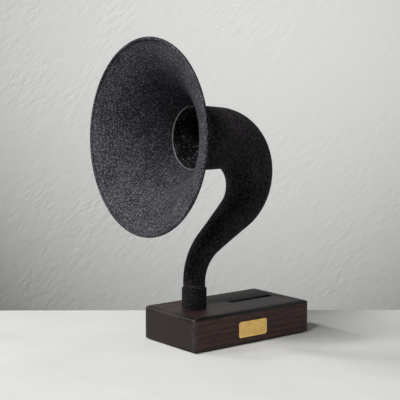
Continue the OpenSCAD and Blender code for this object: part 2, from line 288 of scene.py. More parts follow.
def sandCoatGroup():
    # crumbly powder coat: every grain has its own tone, with dark gaps between and broad patches;
    # towards an axis along x it gets painted shade, darker with fewer bright grains, and where it
    # turns to +x it gets painted shade only
    tree, sheet, given, made = newGroup("sandCoat", [
        ("Grain Size", floatIn, 0.0014), ("Grain Shape", vectorIn, (1.0, 1.0, 1.0)),
        ("Patch Size", floatIn, 0.04), ("Sparseness", floatIn, 3.0),
        ("Ground", colourIn, (0.007, 0.007, 0.008, 1)),
        ("Grain", colourIn, (0.03, 0.03, 0.033, 1)),
        ("Low Roughness", floatIn, 0.45), ("High Roughness", floatIn, 0.7),
        ("Axis", vectorIn, (0.0, 0.0, 0.0)),
        ("Thin Radius", floatIn, -2.0), ("Full Radius", floatIn, -1.0),
        ("Thin Shade", floatIn, 0.6), ("Back Shade", floatIn, 0.0)],
        surfaceOut + [("Grains", floatIn)])
    place = sheet.coordinates()
    grainScale = sheet.over(1.0, given["Grain Size"])
    grains = sheet.cells(sheet.vectorStep("MULTIPLY", place, given["Grain Shape"]), grainScale)
    # few grains are bright
    lot = sheet.power(sheet.apart(grains["Color"])["X"], given["Sparseness"])
    crumb = sheet.remap(grains["Distance"], 0.15, 0.75, 1.0, 0.25)
    dust = sheet.noise(place, sheet.times(grainScale, 2.5), 2.0)
    patch = sheet.noise(place, sheet.over(1.0, given["Patch Size"]), 3.0)
    speckle = sheet.plus(sheet.times(lot, crumb), sheet.remap(dust, 0.3, 0.7, -0.1, 0.1))
    speckle = sheet.plus(speckle, sheet.remap(patch, 0.3, 0.7, -0.08, 0.08))
    speckle = sheet.larger(speckle, 0.0)

    # painted shade: darker with fewer bright grains near the axis, and darker where a face turns to
    # +x
    offAxis = sheet.vectorStep("SUBTRACT", place, given["Axis"])
    reach = sheet.length(sheet.vectorStep("MULTIPLY", offAxis, (0.0, 1.0, 1.0)))
    axisShade = sheet.remap(reach, given["Thin Radius"], given["Full Radius"], given["Thin Shade"], 0.0)
    speckle = sheet.power(speckle, sheet.plus(1.0, axisShade))
    facing = sheet.apart(sheet.coordinates("Normal"))
    back = sheet.times(sheet.remap(facing["X"], -0.45, -0.05), given["Back Shade"])
    shade = sheet.larger(sheet.times(axisShade, 0.6), back)

    coat = sheet.blend(speckle, given["Ground"], given["Grain"])
    sheet.join(sheet.blend(shade, coat, black), made["Color"])
    sheet.join(speckle, made["Grains"])
    # the gaps are dull and the grains shine
    dullness = sheet.remap(speckle, 0.0, 0.5, given["High Roughness"], given["Low Roughness"])
    sheet.join(dullness, made["Roughness"])
    sheet.join(sheet.plus(sheet.times(crumb, lot), sheet.times(dust, 0.3)), made["Height"])
    return tree


def stainedWoodGroup():
    # growth rings round a pith below the block, fibres and pores along x, paler edges at the ends,
    # wear and a painted highlight, and black painted shade along the long edges and inside the
    # block
    tree, sheet, given, made = newGroup("stainedWood", [
        ("Ring Spacing", floatIn, 0.006), ("Pith", vectorIn, (0.0, 0.03, -0.07)),
        ("Dark", colourIn, (0.008, 0.0055, 0.005, 1)),
        ("Light", colourIn, (0.125, 0.05, 0.037, 1)),
        ("Wear And Highlight", colourIn, (0.06, 0.052, 0.049, 1)), ("Half Size", vectorIn, (0.1, 0.055, 0.046)),
        ("Edge Width", floatIn, 0.008), ("Edge Stain", floatIn, 0.0)], surfaceOut)
    place = sheet.coordinates()
    stretched = sheet.add("ShaderNodeMapping")
    stretched.inputs["Scale"].default_value = (0.13, 1.0, 1.0)
    sheet.join(place, stretched.inputs["Vector"])
    along = stretched.outputs["Vector"]

    # rings, fibres and pores
    radius = sheet.length(sheet.vectorStep("SUBTRACT", along, given["Pith"]))
    wandered = sheet.plus(radius, sheet.times(sheet.noise(along, 22.0, 2.0), 0.016))
    lateWood = sheet.power(sheet.fraction(sheet.over(wandered, given["Ring Spacing"])), 3.0)
    fibres = sheet.noise(along, 900.0, 2.0, 0.6)
    bands = sheet.noise(along, 330.0, 4.0, 0.7)
    pore = sheet.remap(sheet.cells(along, 620.0)["Distance"], 0.08, 0.22, 1.0, 0.0)
    tone = sheet.plus(sheet.times(bands, 0.7), sheet.times(fibres, 0.7))
    tone = sheet.minus(tone, sheet.times(lateWood, 0.25))
    wood = sheet.blend(sheet.remap(tone, 0.45, 0.95), given["Dark"], given["Light"])
    wood = sheet.blend(sheet.times(pore, 0.6), wood, given["Dark"])

    # how near each face of the block is, from 0 to 1
    offCentre, reach = sheet.apart(place), sheet.apart(given["Half Size"])
    nearFace = []
    for axis in range(3):
        gap = sheet.minus(reach[axis], sheet.unsigned(offCentre[axis]))
        near = sheet.minus(1.0, sheet.over(gap, given["Edge Width"]))
        nearFace.append(sheet.larger(near, 0.0))
    # the long edges' mask is for black painted shade there
    upright, endTop, longEdgeShade = [
        sheet.times(nearFace[a], nearFace[b]) for a, b in ((0, 1), (0, 2), (1, 2))]
    # paler edges at the ends and corners: wear and a painted highlight
    rub = sheet.remap(sheet.noise(place, 160.0, 4.0, 0.7), 0.35, 0.7)
    wearAndHighlight = sheet.smaller(sheet.times(sheet.plus(sheet.times(upright, 1.6), endTop), rub), 1.0)

    # ends take more stain and painted shade, the top painted shade; long edges and inner walls
    # black painted shade
    facing = sheet.apart(sheet.coordinates("Normal"))
    # end faces: end grain takes more stain, and painted shade for the window's direct light
    endStainAndShade = sheet.remap(sheet.unsigned(facing["X"]), 0.5, 0.95, 0.0, 0.8)
    topShadeAndSatin = sheet.remap(facing["Z"], 0.5, 0.95, 0.0, 0.6)
    wood = sheet.blend(sheet.larger(endStainAndShade, topShadeAndSatin), wood, given["Dark"])
    wood = sheet.blend(sheet.remap(longEdgeShade, 0.4, 0.55, 0.0, given["Edge Stain"]), wood, black)
    wood = sheet.blend(wearAndHighlight, wood, given["Wear And Highlight"])
    # black painted shade on the walls inside the slot
    inside = sheet.times(sheet.remap(nearFace[1], 0.05, 0.2, 1.0, 0.0),
                         sheet.remap(sheet.unsigned(facing["Y"]), 0.05, 0.3))
    sheet.join(sheet.blend(sheet.times(inside, given["Edge Stain"]), wood, black), made["Color"])
    rough = sheet.plus(sheet.remap(fibres, 0.3, 0.7, 0.42, 0.56), sheet.times(topShadeAndSatin, 0.08))
    sheet.join(sheet.plus(rough, sheet.times(pore, 0.2)), made["Roughness"])
    sheet.join(sheet.minus(sheet.times(fibres, 0.5), sheet.times(pore, 0.5)), made["Height"])
    return tree


def brushedGroup():
    # metal brushed along x, with uneven tarnish; an equal stretch in x and y gives a rolled skin
    tree, sheet, given, made = newGroup("brushedMetal", [
        ("Base", colourIn, (0.8, 0.6, 0.3, 1)), ("Shade", colourIn, (0.5, 0.35, 0.15, 1)),
        ("Stretch", vectorIn, (60.0, 2500.0, 2500.0)), ("Low Roughness", floatIn, 0.25),
        ("High Roughness", floatIn, 0.45)], surfaceOut)
    place = sheet.coordinates()
    lines = sheet.noise(sheet.vectorStep("MULTIPLY", place, given["Stretch"]), 1.0, 3.0, 0.7)
    tarnish = sheet.times(sheet.remap(sheet.noise(place, 110.0, 4.0, 0.6), 0.4, 0.7), 0.9)
    shade = sheet.plus(tarnish, sheet.remap(lines, 0.3, 0.8, 0.0, 0.35))
    sheet.join(sheet.blend(shade, given["Base"], given["Shade"]), made["Color"])
    rough = sheet.remap(lines, 0.3, 0.7, given["Low Roughness"], given["High Roughness"])
    sheet.join(rough, made["Roughness"])
    sheet.join(lines, made["Height"])
    return tree


def pressedFibreGroup():
    # felt and other fibrous stuff: short crossed fibres and soft lumps
    tree, sheet, given, made = newGroup("pressedFibre", [
        ("Base", colourIn, (0.02, 0.02, 0.02, 1)), ("Lint", colourIn, (0.06, 0.06, 0.06, 1)),
        ("Fibre Size", floatIn, 0.0004)], surfaceOut)
    place = sheet.coordinates()
    scale = sheet.over(1.0, given["Fibre Size"])
    fibres = sheet.noise(place, scale, 4.0, 0.75)
    lumps = sheet.noise(place, sheet.times(scale, 0.08), 2.0)
    tone = sheet.plus(sheet.times(fibres, 0.7), sheet.times(lumps, 0.3))
    lint = sheet.remap(tone, 0.4, 0.65)
    sheet.join(sheet.blend(lint, given["Base"], given["Lint"]), made["Color"])
    sheet.join(sheet.remap(fibres, 0.3, 0.7, 0.85, 1.0), made["Roughness"])
    sheet.join(tone, made["Height"])
    return tree


def mouldedGroup():
    # rubber, nylon and tape: faint clouding and a fine skin
    tree, sheet, given, made = newGroup("mouldedSkin", [
        ("Base", colourIn, (0.5, 0.5, 0.5, 1)), ("Cloud", colourIn, (0.4, 0.4, 0.4, 1)),
        ("Skin Size", floatIn, 0.0006), ("Low Roughness", floatIn, 0.45),
        ("High Roughness", floatIn, 0.65)], surfaceOut)
    place = sheet.coordinates()
    scale = sheet.over(1.0, given["Skin Size"])
    skin = sheet.noise(place, scale, 2.0)
    cloud = sheet.remap(sheet.noise(place, sheet.times(scale, 0.1), 3.0), 0.35, 0.7)
    sheet.join(sheet.blend(cloud, given["Base"], given["Cloud"]), made["Color"])
    rough = sheet.remap(skin, 0.3, 0.7, given["Low Roughness"], given["High Roughness"])
    sheet.join(rough, made["Roughness"])
    sheet.join(skin, made["Height"])
    return tree


sandCoat = sandCoatGroup()
stainedWood = stainedWoodGroup()
brushedMetal = brushedGroup()
pressedFibre = pressedFibreGroup()
mouldedSkin = mouldedGroup()
print("surface groups built")

bellCoat = newMaterial("bellCoat", sandCoat, {
    "Grain Size": 0.0012, "Patch Size": 0.035, "Sparseness": 2.0, "Grain Shape": (0.5, 1.0, 1.0),
    "Ground": (0.025, 0.025, 0.0285, 1), "Grain": (0.29, 0.29, 0.335, 1),
    "Low Roughness": 0.45, "High Roughness": 0.9,
    # painted shade deep in the bell round a line above its axis, and on its outside turned to +x
    "Axis": (0.0, 0.02, 0.31), "Thin Radius": 0.03, "Full Radius": 0.11,
    "Thin Shade": 0.5, "Back Shade": 0.6},
    bumpDepth=0.0007, metalGrains=True, Specular_IOR_Level=0.0)
neckCoat = newMaterial("neckCoat", sandCoat, {
    "Grain Size": 0.0013, "Patch Size": 0.03, "Sparseness": 1.6,
    "Ground": (0.0055, 0.0047, 0.0055, 1), "Grain": (0.11, 0.096, 0.112, 1),
    "Low Roughness": 0.7, "High Roughness": 0.9}, bumpDepth=0.0004, Specular_IOR_Level=0.1)
# near black: painted shade inside the neck's bore, with a few bright grains
boreShadeCoat = newMaterial("boreShadeCoat", sandCoat, {
    "Grain Size": 0.0016, "Patch Size": 0.02, "Sparseness": 8.0,
    "Ground": (0.002, 0.002, 0.002, 1), "Grain": (0.26, 0.26, 0.285, 1),
    "Low Roughness": 0.7, "High Roughness": 0.9}, bumpDepth=0.0005, Specular_IOR_Level=0.1)
collarCoat = newMaterial("collarCoat", sandCoat, {
    "Grain Size": 0.0018, "Patch Size": 0.02,
    "Ground": (0.0025, 0.0024, 0.0025, 1), "Grain": (0.035, 0.031, 0.035, 1),
    "Low Roughness": 0.35, "High Roughness": 0.9}, bumpDepth=0.0006, Specular_IOR_Level=0.2)
# paler than the bell's coat: a painted highlight along the throat's lip
ringCoat = newMaterial("ringCoat", sandCoat, {
    "Grain Size": 0.0012, "Patch Size": 0.03,
    "Ground": (0.07, 0.07, 0.076, 1), "Grain": (0.4, 0.4, 0.43, 1),
    "Low Roughness": 0.3, "High Roughness": 0.5}, bumpDepth=0.0001)
# black painted shade along the long edges and inside the slot
blockWood = newMaterial("blockWood", stainedWood, {
    "Edge Stain": 1.0}, bumpDepth=0.0002, Specular_IOR_Level=0.3)
rawBoard = newMaterial("rawBoard", stainedWood, {
    "Ring Spacing": 0.0016, "Pith": (0.0, 0.0, -0.3), "Dark": (0.16, 0.09, 0.045, 1),
    "Light": (0.42, 0.28, 0.16, 1), "Wear And Highlight": (0.45, 0.32, 0.2, 1)}, bumpDepth=0.0003)
plateBrass = newMaterial("plateBrass", brushedMetal, {
    "Base": (0.95, 0.65, 0.23, 1), "Shade": (0.8, 0.5, 0.16, 1),
    "Low Roughness": 0.2, "High Roughness": 0.36}, bumpDepth=0.00004, Metallic=1.0)
zincSteel = newMaterial("zincSteel", brushedMetal, {
    "Base": (0.62, 0.62, 0.6, 1), "Shade": (0.4, 0.4, 0.4, 1),
    "Stretch": (900.0, 900.0, 2500.0)}, bumpDepth=0.00005, Metallic=1.0)
blackFelt = newMaterial("blackFelt", pressedFibre, {}, bumpDepth=0.0004, Sheen_Weight=0.3)
padFelt = newMaterial("padFelt", pressedFibre, {
    "Base": (0.03, 0.03, 0.032, 1)}, bumpDepth=0.0003, Sheen_Weight=0.3)
gasketRubber = newMaterial("gasketRubber", mouldedSkin, {
    "Base": (0.012, 0.012, 0.012, 1), "Cloud": (0.022, 0.022, 0.022, 1)}, bumpDepth=0.0001)
bushNylon = newMaterial("bushNylon", mouldedSkin, {
    "Base": (0.62, 0.6, 0.54, 1), "Cloud": (0.55, 0.53, 0.46, 1),
    "Low Roughness": 0.35, "High Roughness": 0.5}, bumpDepth=0.00005, Subsurface_Weight=0.05)
foamTape = newMaterial("foamTape", mouldedSkin, {
    "Base": (0.6, 0.6, 0.56, 1), "Cloud": (0.5, 0.5, 0.47, 1),
    "Skin Size": 0.0003}, bumpDepth=0.0001)
print("materials made")


# Horn: neck, throat ring and bell

collarLow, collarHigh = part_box("socket_collar")
collarX = (collarLow.x + collarHigh.x) / 2  # the horn turns about this upright line

neck = {
    "footRadius": 14.75 * mm, "throatRadius": 42.5 * mm, "wall": 2 * mm,
    "rise": 5 * mm, "lowBend": 66 * mm, "lowTurn": 52.5, "run": 58.8 * mm,
    "topBend": 57 * mm, "end": 36.6 * mm, "hornTilt": 2.2,
    "pathStep": 0.5 * mm, "rings": 300, "sides": 96, "crease": 40,
}


def neckPath():
    # points of the neck's middle line, from foot to tip
    x, z, heading = collarX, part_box("swan_neck")[0].z, math.radians(90)
    topTurn = 90 - neck["hornTilt"] + neck["lowTurn"]
    stretches = [
        (neck["rise"], 0), (neck["lowBend"] * math.radians(neck["lowTurn"]), -neck["lowTurn"]),
        (neck["run"], 0), (neck["topBend"] * math.radians(topTurn), topTurn), (neck["end"], 0)]
    points = [Vector((x, 0, z))]
    for length, turn in stretches:
        steps = max(1, round(length / neck["pathStep"]))
        for i in range(steps):
            middle = heading + math.radians(turn) * (i + 0.5) / steps
            x += length / steps * math.cos(middle)
            z += length / steps * math.sin(middle)
            points.append(Vector((x, 0, z)))
        heading += math.radians(turn)
    return points


def taperedTubeTree():
    # a tube along a curve whose radius follows a smooth step from foot to throat
    tree, sheet, given, made = newGroup("taperedTube", [
        ("Path", "NodeSocketGeometry", None), ("Foot Radius", floatIn, 0.01),
        ("Throat Radius", floatIn, 0.04), ("Rings", "NodeSocketInt", 100),
        ("Sides", "NodeSocketInt", 48), ("Coat", "NodeSocketMaterial", None)],
        [("Tube", "NodeSocketGeometry")], "GeometryNodeTree")
    evenPath = sheet.add("GeometryNodeResampleCurve")
    sheet.join(given["Path"], evenPath.inputs["Curve"])
    sheet.join(given["Rings"], evenPath.inputs["Count"])
    swell = sheet.add("ShaderNodeMapRange", interpolation_type="SMOOTHSTEP")
    sheet.join(sheet.add("GeometryNodeSplineParameter").outputs["Factor"], swell.inputs["Value"])
    sheet.join(given["Foot Radius"], swell.inputs["To Min"])
    sheet.join(given["Throat Radius"], swell.inputs["To Max"])
    hoop = sheet.add("GeometryNodeCurvePrimitiveCircle")
    hoop.inputs["Radius"].default_value = 1.0
    sheet.join(given["Sides"], hoop.inputs["Resolution"])
    sweep = sheet.add("GeometryNodeCurveToMesh")
    sheet.join(evenPath.outputs["Curve"], sweep.inputs["Curve"])
    sheet.join(hoop.outputs["Curve"], sweep.inputs["Profile Curve"])
    sheet.join(swell.outputs["Result"], sweep.inputs["Scale"])
    real = sheet.add("GeometryNodeRealizeInstances")
    sheet.join(sweep.outputs["Mesh"], real.inputs["Geometry"])
    coated = sheet.add("GeometryNodeSetMaterial")
    sheet.join(real.outputs["Geometry"], coated.inputs["Geometry"])
    sheet.join(given["Coat"], coated.inputs["Material"])
    sheet.join(coated.outputs["Geometry"], made["Tube"])
    return tree


def setTreeInputs(modifier, values):
    # by each socket's identifier, before the object is first evaluated
    for item in modifier.node_group.interface.items_tree:
        if item.item_type == "SOCKET" and item.in_out == "INPUT" and item.name in values:
            modifier[item.identifier] = values[item.name]


def makeNeck():
    points = neckPath()
    line = bpy.data.curves.new("neckLine", "CURVE")
    line.dimensions = "3D"
    spline = line.splines.new("POLY")
    spline.points.add(len(points) - 1)
    for point, place in zip(spline.points, points):
        point.co = (*place, 1)
    path = inScene("hornNeck", line)
    sweep = path.modifiers.new("sweep", "NODES")
    sweep.node_group = taperedTubeTree()
    setTreeInputs(sweep, {
        "Foot Radius": neck["footRadius"], "Throat Radius": neck["throatRadius"],
        "Rings": neck["rings"], "Sides": neck["sides"], "Coat": neckCoat})
    tube = plainMesh(path)
    tube.name = "hornNeck"
    # one skin facing outwards, before the wall gets its thickness
    work = bmesh.new()
    work.from_mesh(tube.data)
    bmesh.ops.remove_doubles(work, verts=work.verts, dist=weld)
    bmesh.ops.recalc_face_normals(work, faces=work.faces)
    work.to_mesh(tube.data)
    work.free()
    wall = tube.modifiers.new("wall", "SOLIDIFY")
    wall.thickness = neck["wall"]
    wall.offset = -1
    wall.material_offset = 1
    tube.data.materials.append(boreShadeCoat)
    tube = plainMesh(tube)
    tidyMesh(tube)
    softenShading(tube, neck["crease"])
    # dress() empties the slots, so the inner wall gets its painted-shade coat back
    inOrOut = [face.material_index for face in tube.data.polygons]
    dress(tube, "horn", neckCoat, "neck_coat", "swan_neck")
    tube.data.materials.append(boreShadeCoat)
    tube.data.polygons.foreach_set("material_index", inOrOut)
    return points[-1]


neckTip = makeNeck()
hornTurn = math.radians(neck["hornTilt"] - 90)
hornAxis = Matrix.Translation(neckTip) @ Matrix.Rotation(hornTurn, 4, "Y")
print("neck swept")

bell = {
    "mouthRadius": 127 * mm, "depth": 78.5 * mm, "sheet": 1.6 * mm, "rimRadius": 2.4 * mm,
    "mouthSlope": 76.5, "mouthPull": 42 * mm, "throatSlope": 27, "throatPull": 32 * mm,
    "ringStep": 0.5 * mm, "ringPress": 0.02 * mm, "ringPastSleeve": 2 * mm, "sleeve": 6 * mm,
    "boreBand": 0.05 * mm,  # faces this near the ring's inside are the bore's
    "ease": 0.4 * mm, "flareSteps": 72, "rimSteps": 20, "noseSteps": 12, "steps": 256,
}


def flareCurve():
    # (point, outward normal) pairs from mouth to throat, as (radius, distance from the neck's tip)
    mouthAngle, throatAngle = math.radians(bell["mouthSlope"]), math.radians(bell["throatSlope"])
    bead = bell["rimRadius"]
    rim = Vector((bell["mouthRadius"] - bead, bell["sleeve"] + bell["depth"] - bead))
    start = rim - bell["sheet"] / 2 * Vector((math.cos(mouthAngle), -math.sin(mouthAngle)))
    end = Vector((neck["throatRadius"] + bell["ringStep"], bell["sleeve"]))
    handles = [
        start, start - bell["mouthPull"] * Vector((math.sin(mouthAngle), math.cos(mouthAngle))),
        end + bell["throatPull"] * Vector((math.sin(throatAngle), math.cos(throatAngle))), end]
    pairs = []
    for i in range(bell["flareSteps"] + 1):
        t = i / bell["flareSteps"]
        a, b, c = (handles[k].lerp(handles[k + 1], t) for k in range(3))
        first, second = a.lerp(b, t), b.lerp(c, t)
        along = (second - first).normalized()
        pairs.append((first.lerp(second, t), Vector((-along.y, along.x))))
    return rim, pairs


def makeBell():
    rim, pairs = flareCurve()
    throat = neck["throatRadius"] + bell["ringStep"]
    sheet, bead, ease = bell["sheet"], bell["rimRadius"], bell["ease"]
    pairs = [(p, n) for p, n in pairs if (p + n * sheet / 2 - rim).length > bead]
    inner = [tuple(p) for p, n in pairs]
    outer = [tuple(p + n * sheet) for p, n in reversed(pairs)]
    sleeve = [
        (throat, ease), (throat + ease, 0), (throat + sheet - ease, 0), (throat + sheet, ease)]
    back = 270 - bell["mouthSlope"]
    spread = math.degrees(math.asin(sheet / 2 / bead))
    rolled = arcPoints(rim, bead, back + spread, back + 360 - spread, bell["rimSteps"])
    outline = inner + sleeve + [p for p in outer if p[0] > throat + sheet] + rolled
    piece = turnedPiece("flaredBell", outline, bell["steps"], hornAxis)
    dress(piece, "horn", bellCoat, "bell_coat", "horn_bell")


def makeThroatRing():
    inside = neck["throatRadius"] - neck["wall"]
    outside = neck["throatRadius"] + bell["ringStep"] + bell["ringPress"]
    nose = (outside - inside) / 2
    length = bell["sleeve"] + bell["ringPastSleeve"]
    outline = [(inside, 0), (outside, 0)]
    outline += arcPoints((inside + nose, length - nose), nose, 0, 180, bell["noseSteps"])
    piece = turnedPiece("throatRing", outline, bell["steps"], hornAxis)
    dress(piece, "horn", ringCoat, "bell_coat", "throat_ring")
    # its inner wall goes on from the neck's bore, in the bore's painted-shade coat
    piece.data.materials.append(boreShadeCoat)
    unturned = hornAxis.inverted()
    for face in piece.data.polygons:
        spot = unturned @ face.center
        face.material_index = int(math.hypot(spot.x, spot.y) < inside + bell["boreBand"])


makeBell()
makeThroatRing()
print("bell and throat ring turned")


# Socket: collar, gasket and the horn's spigot

collarAxis = Matrix.Translation((collarX, 0, 0))
socket = {
    "radius": 16.6 * mm, "bore": 14.05 * mm, "floor": 5 * mm, "lip": 1.2 * mm, "edge": 1.2 * mm,
    "tube": 10.05 * mm, "tubeInside": 8.4 * mm, "gasket": 16.3 * mm, "gasketHole": 10.2 * mm,
    "spigot": 12.45 * mm, "spigotInside": 10.8 * mm,
    "shoulder": 14.75 * mm, "shoulderGap": 0.05 * mm,
    "ease": 0.3 * mm, "spigotEase": 0.35 * mm, "edgeSteps": 10, "gasketSteps": 8, "steps": 160,
}


def makeCollar():
    foot, top, edge = collarLow.z, collarHigh.z, socket["edge"]
    shelf, ease = foot + socket["floor"], socket["ease"]
    outline = [
        (socket["tube"], foot), (socket["radius"] - ease, foot), (socket["radius"], foot + ease)]
    outline += arcPoints((socket["radius"] - edge, top - edge), edge, 0, 90, socket["edgeSteps"])
    outline += [
        (socket["bore"] + ease, top), (socket["bore"], top - ease), (socket["bore"], shelf),
        (socket["tubeInside"], shelf), (socket["tubeInside"], shelf - socket["lip"]),
        (socket["tube"], shelf - socket["lip"])]
    piece = turnedPiece("collarSleeve", outline, socket["steps"], collarAxis)
    dress(piece, "base", collarCoat, "collar_coat", "socket_collar")


def makeGasket():
    low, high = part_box("collar_gasket")
    half = (high.z - low.z) / 2
    centre = (socket["gasket"] - half, low.z + half)
    outline = [(socket["gasketHole"], low.z)]
    outline += arcPoints(centre, half, -90, 90, socket["gasketSteps"])
    outline += [(socket["gasketHole"], high.z)]
    piece = turnedPiece("collarGasket", outline, socket["steps"], collarAxis)
    dress(piece, "base", gasketRubber, "collar_gasket", "collar_gasket")


def makeSpigot():
    # the shoulder stands off the collar by a hair, so that they do not rub as the horn turns
    low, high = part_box("neck_spigot")
    seat = collarHigh.z + socket["shoulderGap"]
    ease, inside = socket["spigotEase"], socket["spigotInside"]
    stem, shoulder = socket["spigot"], socket["shoulder"]
    outline = [
        (inside, low.z), (stem - ease, low.z), (stem, low.z + ease),
        (stem, seat), (shoulder - ease, seat), (shoulder, seat + ease),
        (shoulder, high.z - ease), (shoulder - ease, high.z), (inside, high.z)]
    piece = turnedPiece("hornSpigot", outline, socket["steps"], collarAxis)
    dress(piece, "horn", neckCoat, "neck_coat", "neck_spigot")


makeCollar()
makeGasket()
makeSpigot()
print("socket turned")


# Base: wooden block, felt, pads and name plate

def roundRect(halfX, halfY, r, z, cornerSteps, sideSteps=1):
    # counter-clockwise ring of a rounded rectangle, the same count for every size
    ring = []
    corners = [(1, -1, -90), (1, 1, 0), (-1, 1, 90), (-1, -1, 180)]
    for sx, sy, start in corners:
        ring += [Vector((*p, z)) for p in arcPoints(
            (sx * (halfX - r), sy * (halfY - r)), r, start, start + 90, cornerSteps)]
    filled = []
    for i, p in enumerate(ring):
        filled.append(p)
        if i % (cornerSteps + 1) == cornerSteps:
            after = ring[(i + 1) % len(ring)]
            filled += [p.lerp(after, k / sideSteps) for k in range(1, sideSteps)]
    return filled


def loftPiece(name, rings, place, crease=creaseAngle):
    # rings of equal count joined in order, with both ends closed
    count = len(rings[0])
    points = [place @ p for ring in rings for p in ring]
    faces = [tuple(reversed(range(count)))]
    for k in range(len(rings) - 1):
        a, b = k * count, (k + 1) * count
        faces += [(a + i, a + (i + 1) % count, b + (i + 1) % count, b + i) for i in range(count)]
    faces.append(tuple(range(len(points) - count, len(points))))
    piece = meshPiece(name, points, faces)
    tidyMesh(piece)
    softenShading(piece, crease)
    return piece


felt = {
    "corner": 3 * mm, "padCorner": 1.5 * mm, "tightCorner": 0.2 * mm, "cornerSteps": 6,
    "sideSteps": 90, "padSideSteps": 14, "crease": 70,
    "fuzz": 0.35 * mm, "tufts": 900, "hairs": 3000,
    # the cut edge from below, as mm inwards and share of the height
    "profile": [(0.45, 0), (0.12, 0.18), (0, 0.5), (0.1, 0.8), (0.4, 1)],
}


def furry(point):
    # pulls a point of a cut edge in by a little, the same each run
    tuft, hair = noise.noise(point * felt["tufts"]), noise.noise(point * felt["hairs"])
    pull = felt["fuzz"] * (0.5 + 0.5 * tuft + 0.3 * hair)
    flat = Vector((point.x, point.y, 0))
    return point - flat.normalized() * max(0.0, pull)


def feltPiece(name, node, corner, sideSteps):
    # pressed felt with a soft, uneven cut edge, in the place of a CAD node
    low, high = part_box(node)
    centre, half = (low + high) / 2, (high - low) / 2
    rings = []
    for inset, share in felt["profile"]:
        inset *= mm
        ring = roundRect(half.x - inset, half.y - inset, max(corner - inset, felt["tightCorner"]),
                         low.z + share * (high.z - low.z), felt["cornerSteps"], sideSteps)
        rings.append([furry(p) for p in ring])
    place = Matrix.Translation((centre.x, centre.y, 0))
    return loftPiece(name, rings, place, felt["crease"])


woodBase = nodeCopy("woodBase", "base_block")
dress(woodBase, "base", blockWood, "base_block", "base_block")

baseFelt = feltPiece("baseFelt", "base_felt", felt["corner"], felt["sideSteps"])
dress(baseFelt, "base", blackFelt, "base_felt", "base_felt")

for side in ("left", "right"):
    node = "slot_pad_" + side
    pad = feltPiece("slotPad" + side.title(), node, felt["padCorner"], felt["padSideSteps"])
    dress(pad, "base", padFelt, "slot_pads", node)

plate = {
    "length": 49 * mm, "height": 21.5 * mm, "thick": 1 * mm, "corner": 3.5 * mm,
    "border": 1.6 * mm, "sunk": 0.25 * mm, "backEase": 0.1 * mm, "ease": 0.3 * mm,
    "edgeCut": 0.09 * mm, "fieldCut": 0.08 * mm, "cornerSteps": 14,
}


def makePlate():
    low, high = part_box("name_plate")
    place = Matrix.Translation(((low.x + high.x) / 2, high.y, (low.z + high.z) / 2))
    place = place @ Matrix.Rotation(math.radians(90), 4, "X")
    top, border, back, ease = plate["thick"], plate["border"], plate["backEase"], plate["ease"]
    edge, field = plate["edgeCut"], plate["fieldCut"]
    steps = [
        (back, 0), (0, back), (0, top - ease), (edge, top - edge), (ease, top),
        (border - ease, top), (border - field, top - field), (border, top - plate["sunk"])]
    halfX, halfY, corner = plate["length"] / 2, plate["height"] / 2, plate["corner"]
    rings = [roundRect(halfX - e, halfY - e, corner - e, z, plate["cornerSteps"]) for e, z in steps]
    piece = loftPiece("namePlate", rings, place)
    dress(piece, "base", plateBrass, "name_plate", "name_plate")


makePlate()
print("base dressed")


# Hidden fittings

def dressNode(material, *nodes):
    # a CAD node that stays, in a material of the scene
    for name in nodes:
        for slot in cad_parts[name].material_slots:
            slot.material = material


dressNode(rawBoard, "channel_cover")
dressNode(zincSteel, "socket_tube", "socket_washer", "lock_nut")
dressNode(zincSteel, "cover_screw_1", "cover_screw_2", "cover_screw_3", "cover_screw_4")
dressNode(bushNylon, "neck_bush")
dressNode(foamTape, "plate_tape")
print("fittings dressed")


# Stage, light and camera

studio = {
    "eye": Vector((-0.93496, -1.11811, 0.35288)), "yaw": 38.42, "pitch": 6.5,
    "lens": 97.54, "sensor": 36, "clipStart": 0.01,
    "floorSize": 12, "wallWidth": 12, "wallHeight": 4, "wallAway": 1.618,
    "wallTurn": 0.5,  # degrees, its left end comes a little nearer
    "floorTone": (0.84, 0.84, 0.825, 1), "floorShade": (0.785, 0.785, 0.77, 1),
    "floorDim": (0.25, 0.25, 0.245, 1), "dimFrom": -0.9, "dimTo": -2.8,  # x, under the window
    "floorBounce": (0.4, 0.4, 0.4, 1),
    "wallTone": (0.71, 0.71, 0.695, 1), "wallBounce": (0.3, 0.3, 0.3, 1),
    "horizonTone": (0.07, 0.07, 0.072, 1), "overheadTone": (0.02, 0.02, 0.021, 1),
}
yaw, pitch = math.radians(studio["yaw"]), math.radians(studio["pitch"])
forward = Vector((math.sin(yaw), math.cos(yaw), 0))
right = Vector((math.cos(yaw), -math.sin(yaw), 0))


def stagePlane(name, width, height, place, material):
    w, h = width / 2, height / 2
    corners = [place @ Vector(p) for p in ((-w, -h, 0), (w, -h, 0), (w, h, 0), (-w, h, 0))]
    plane = meshPiece(name, corners, [(0, 1, 2, 3)])
    plane.data.materials.append(material)


def mattMaterial(name):
    # a dull Principled material and the tools to add to it
    material = bpy.data.materials.new(name)
    material.use_nodes = True
    shader = material.node_tree.nodes["Principled BSDF"]
    shader.inputs["Roughness"].default_value = 0.9
    return material, NodeSheet(material.node_tree), shader


def seenDirectly(sheet):
    # 1 for rays that show the surface to the eye, also in metal and glass
    rays = sheet.add("ShaderNodeLightPath").outputs
    seen = sheet.larger(rays["Is Camera Ray"], rays["Is Glossy Ray"])
    return sheet.larger(seen, rays["Is Transmission Ray"])


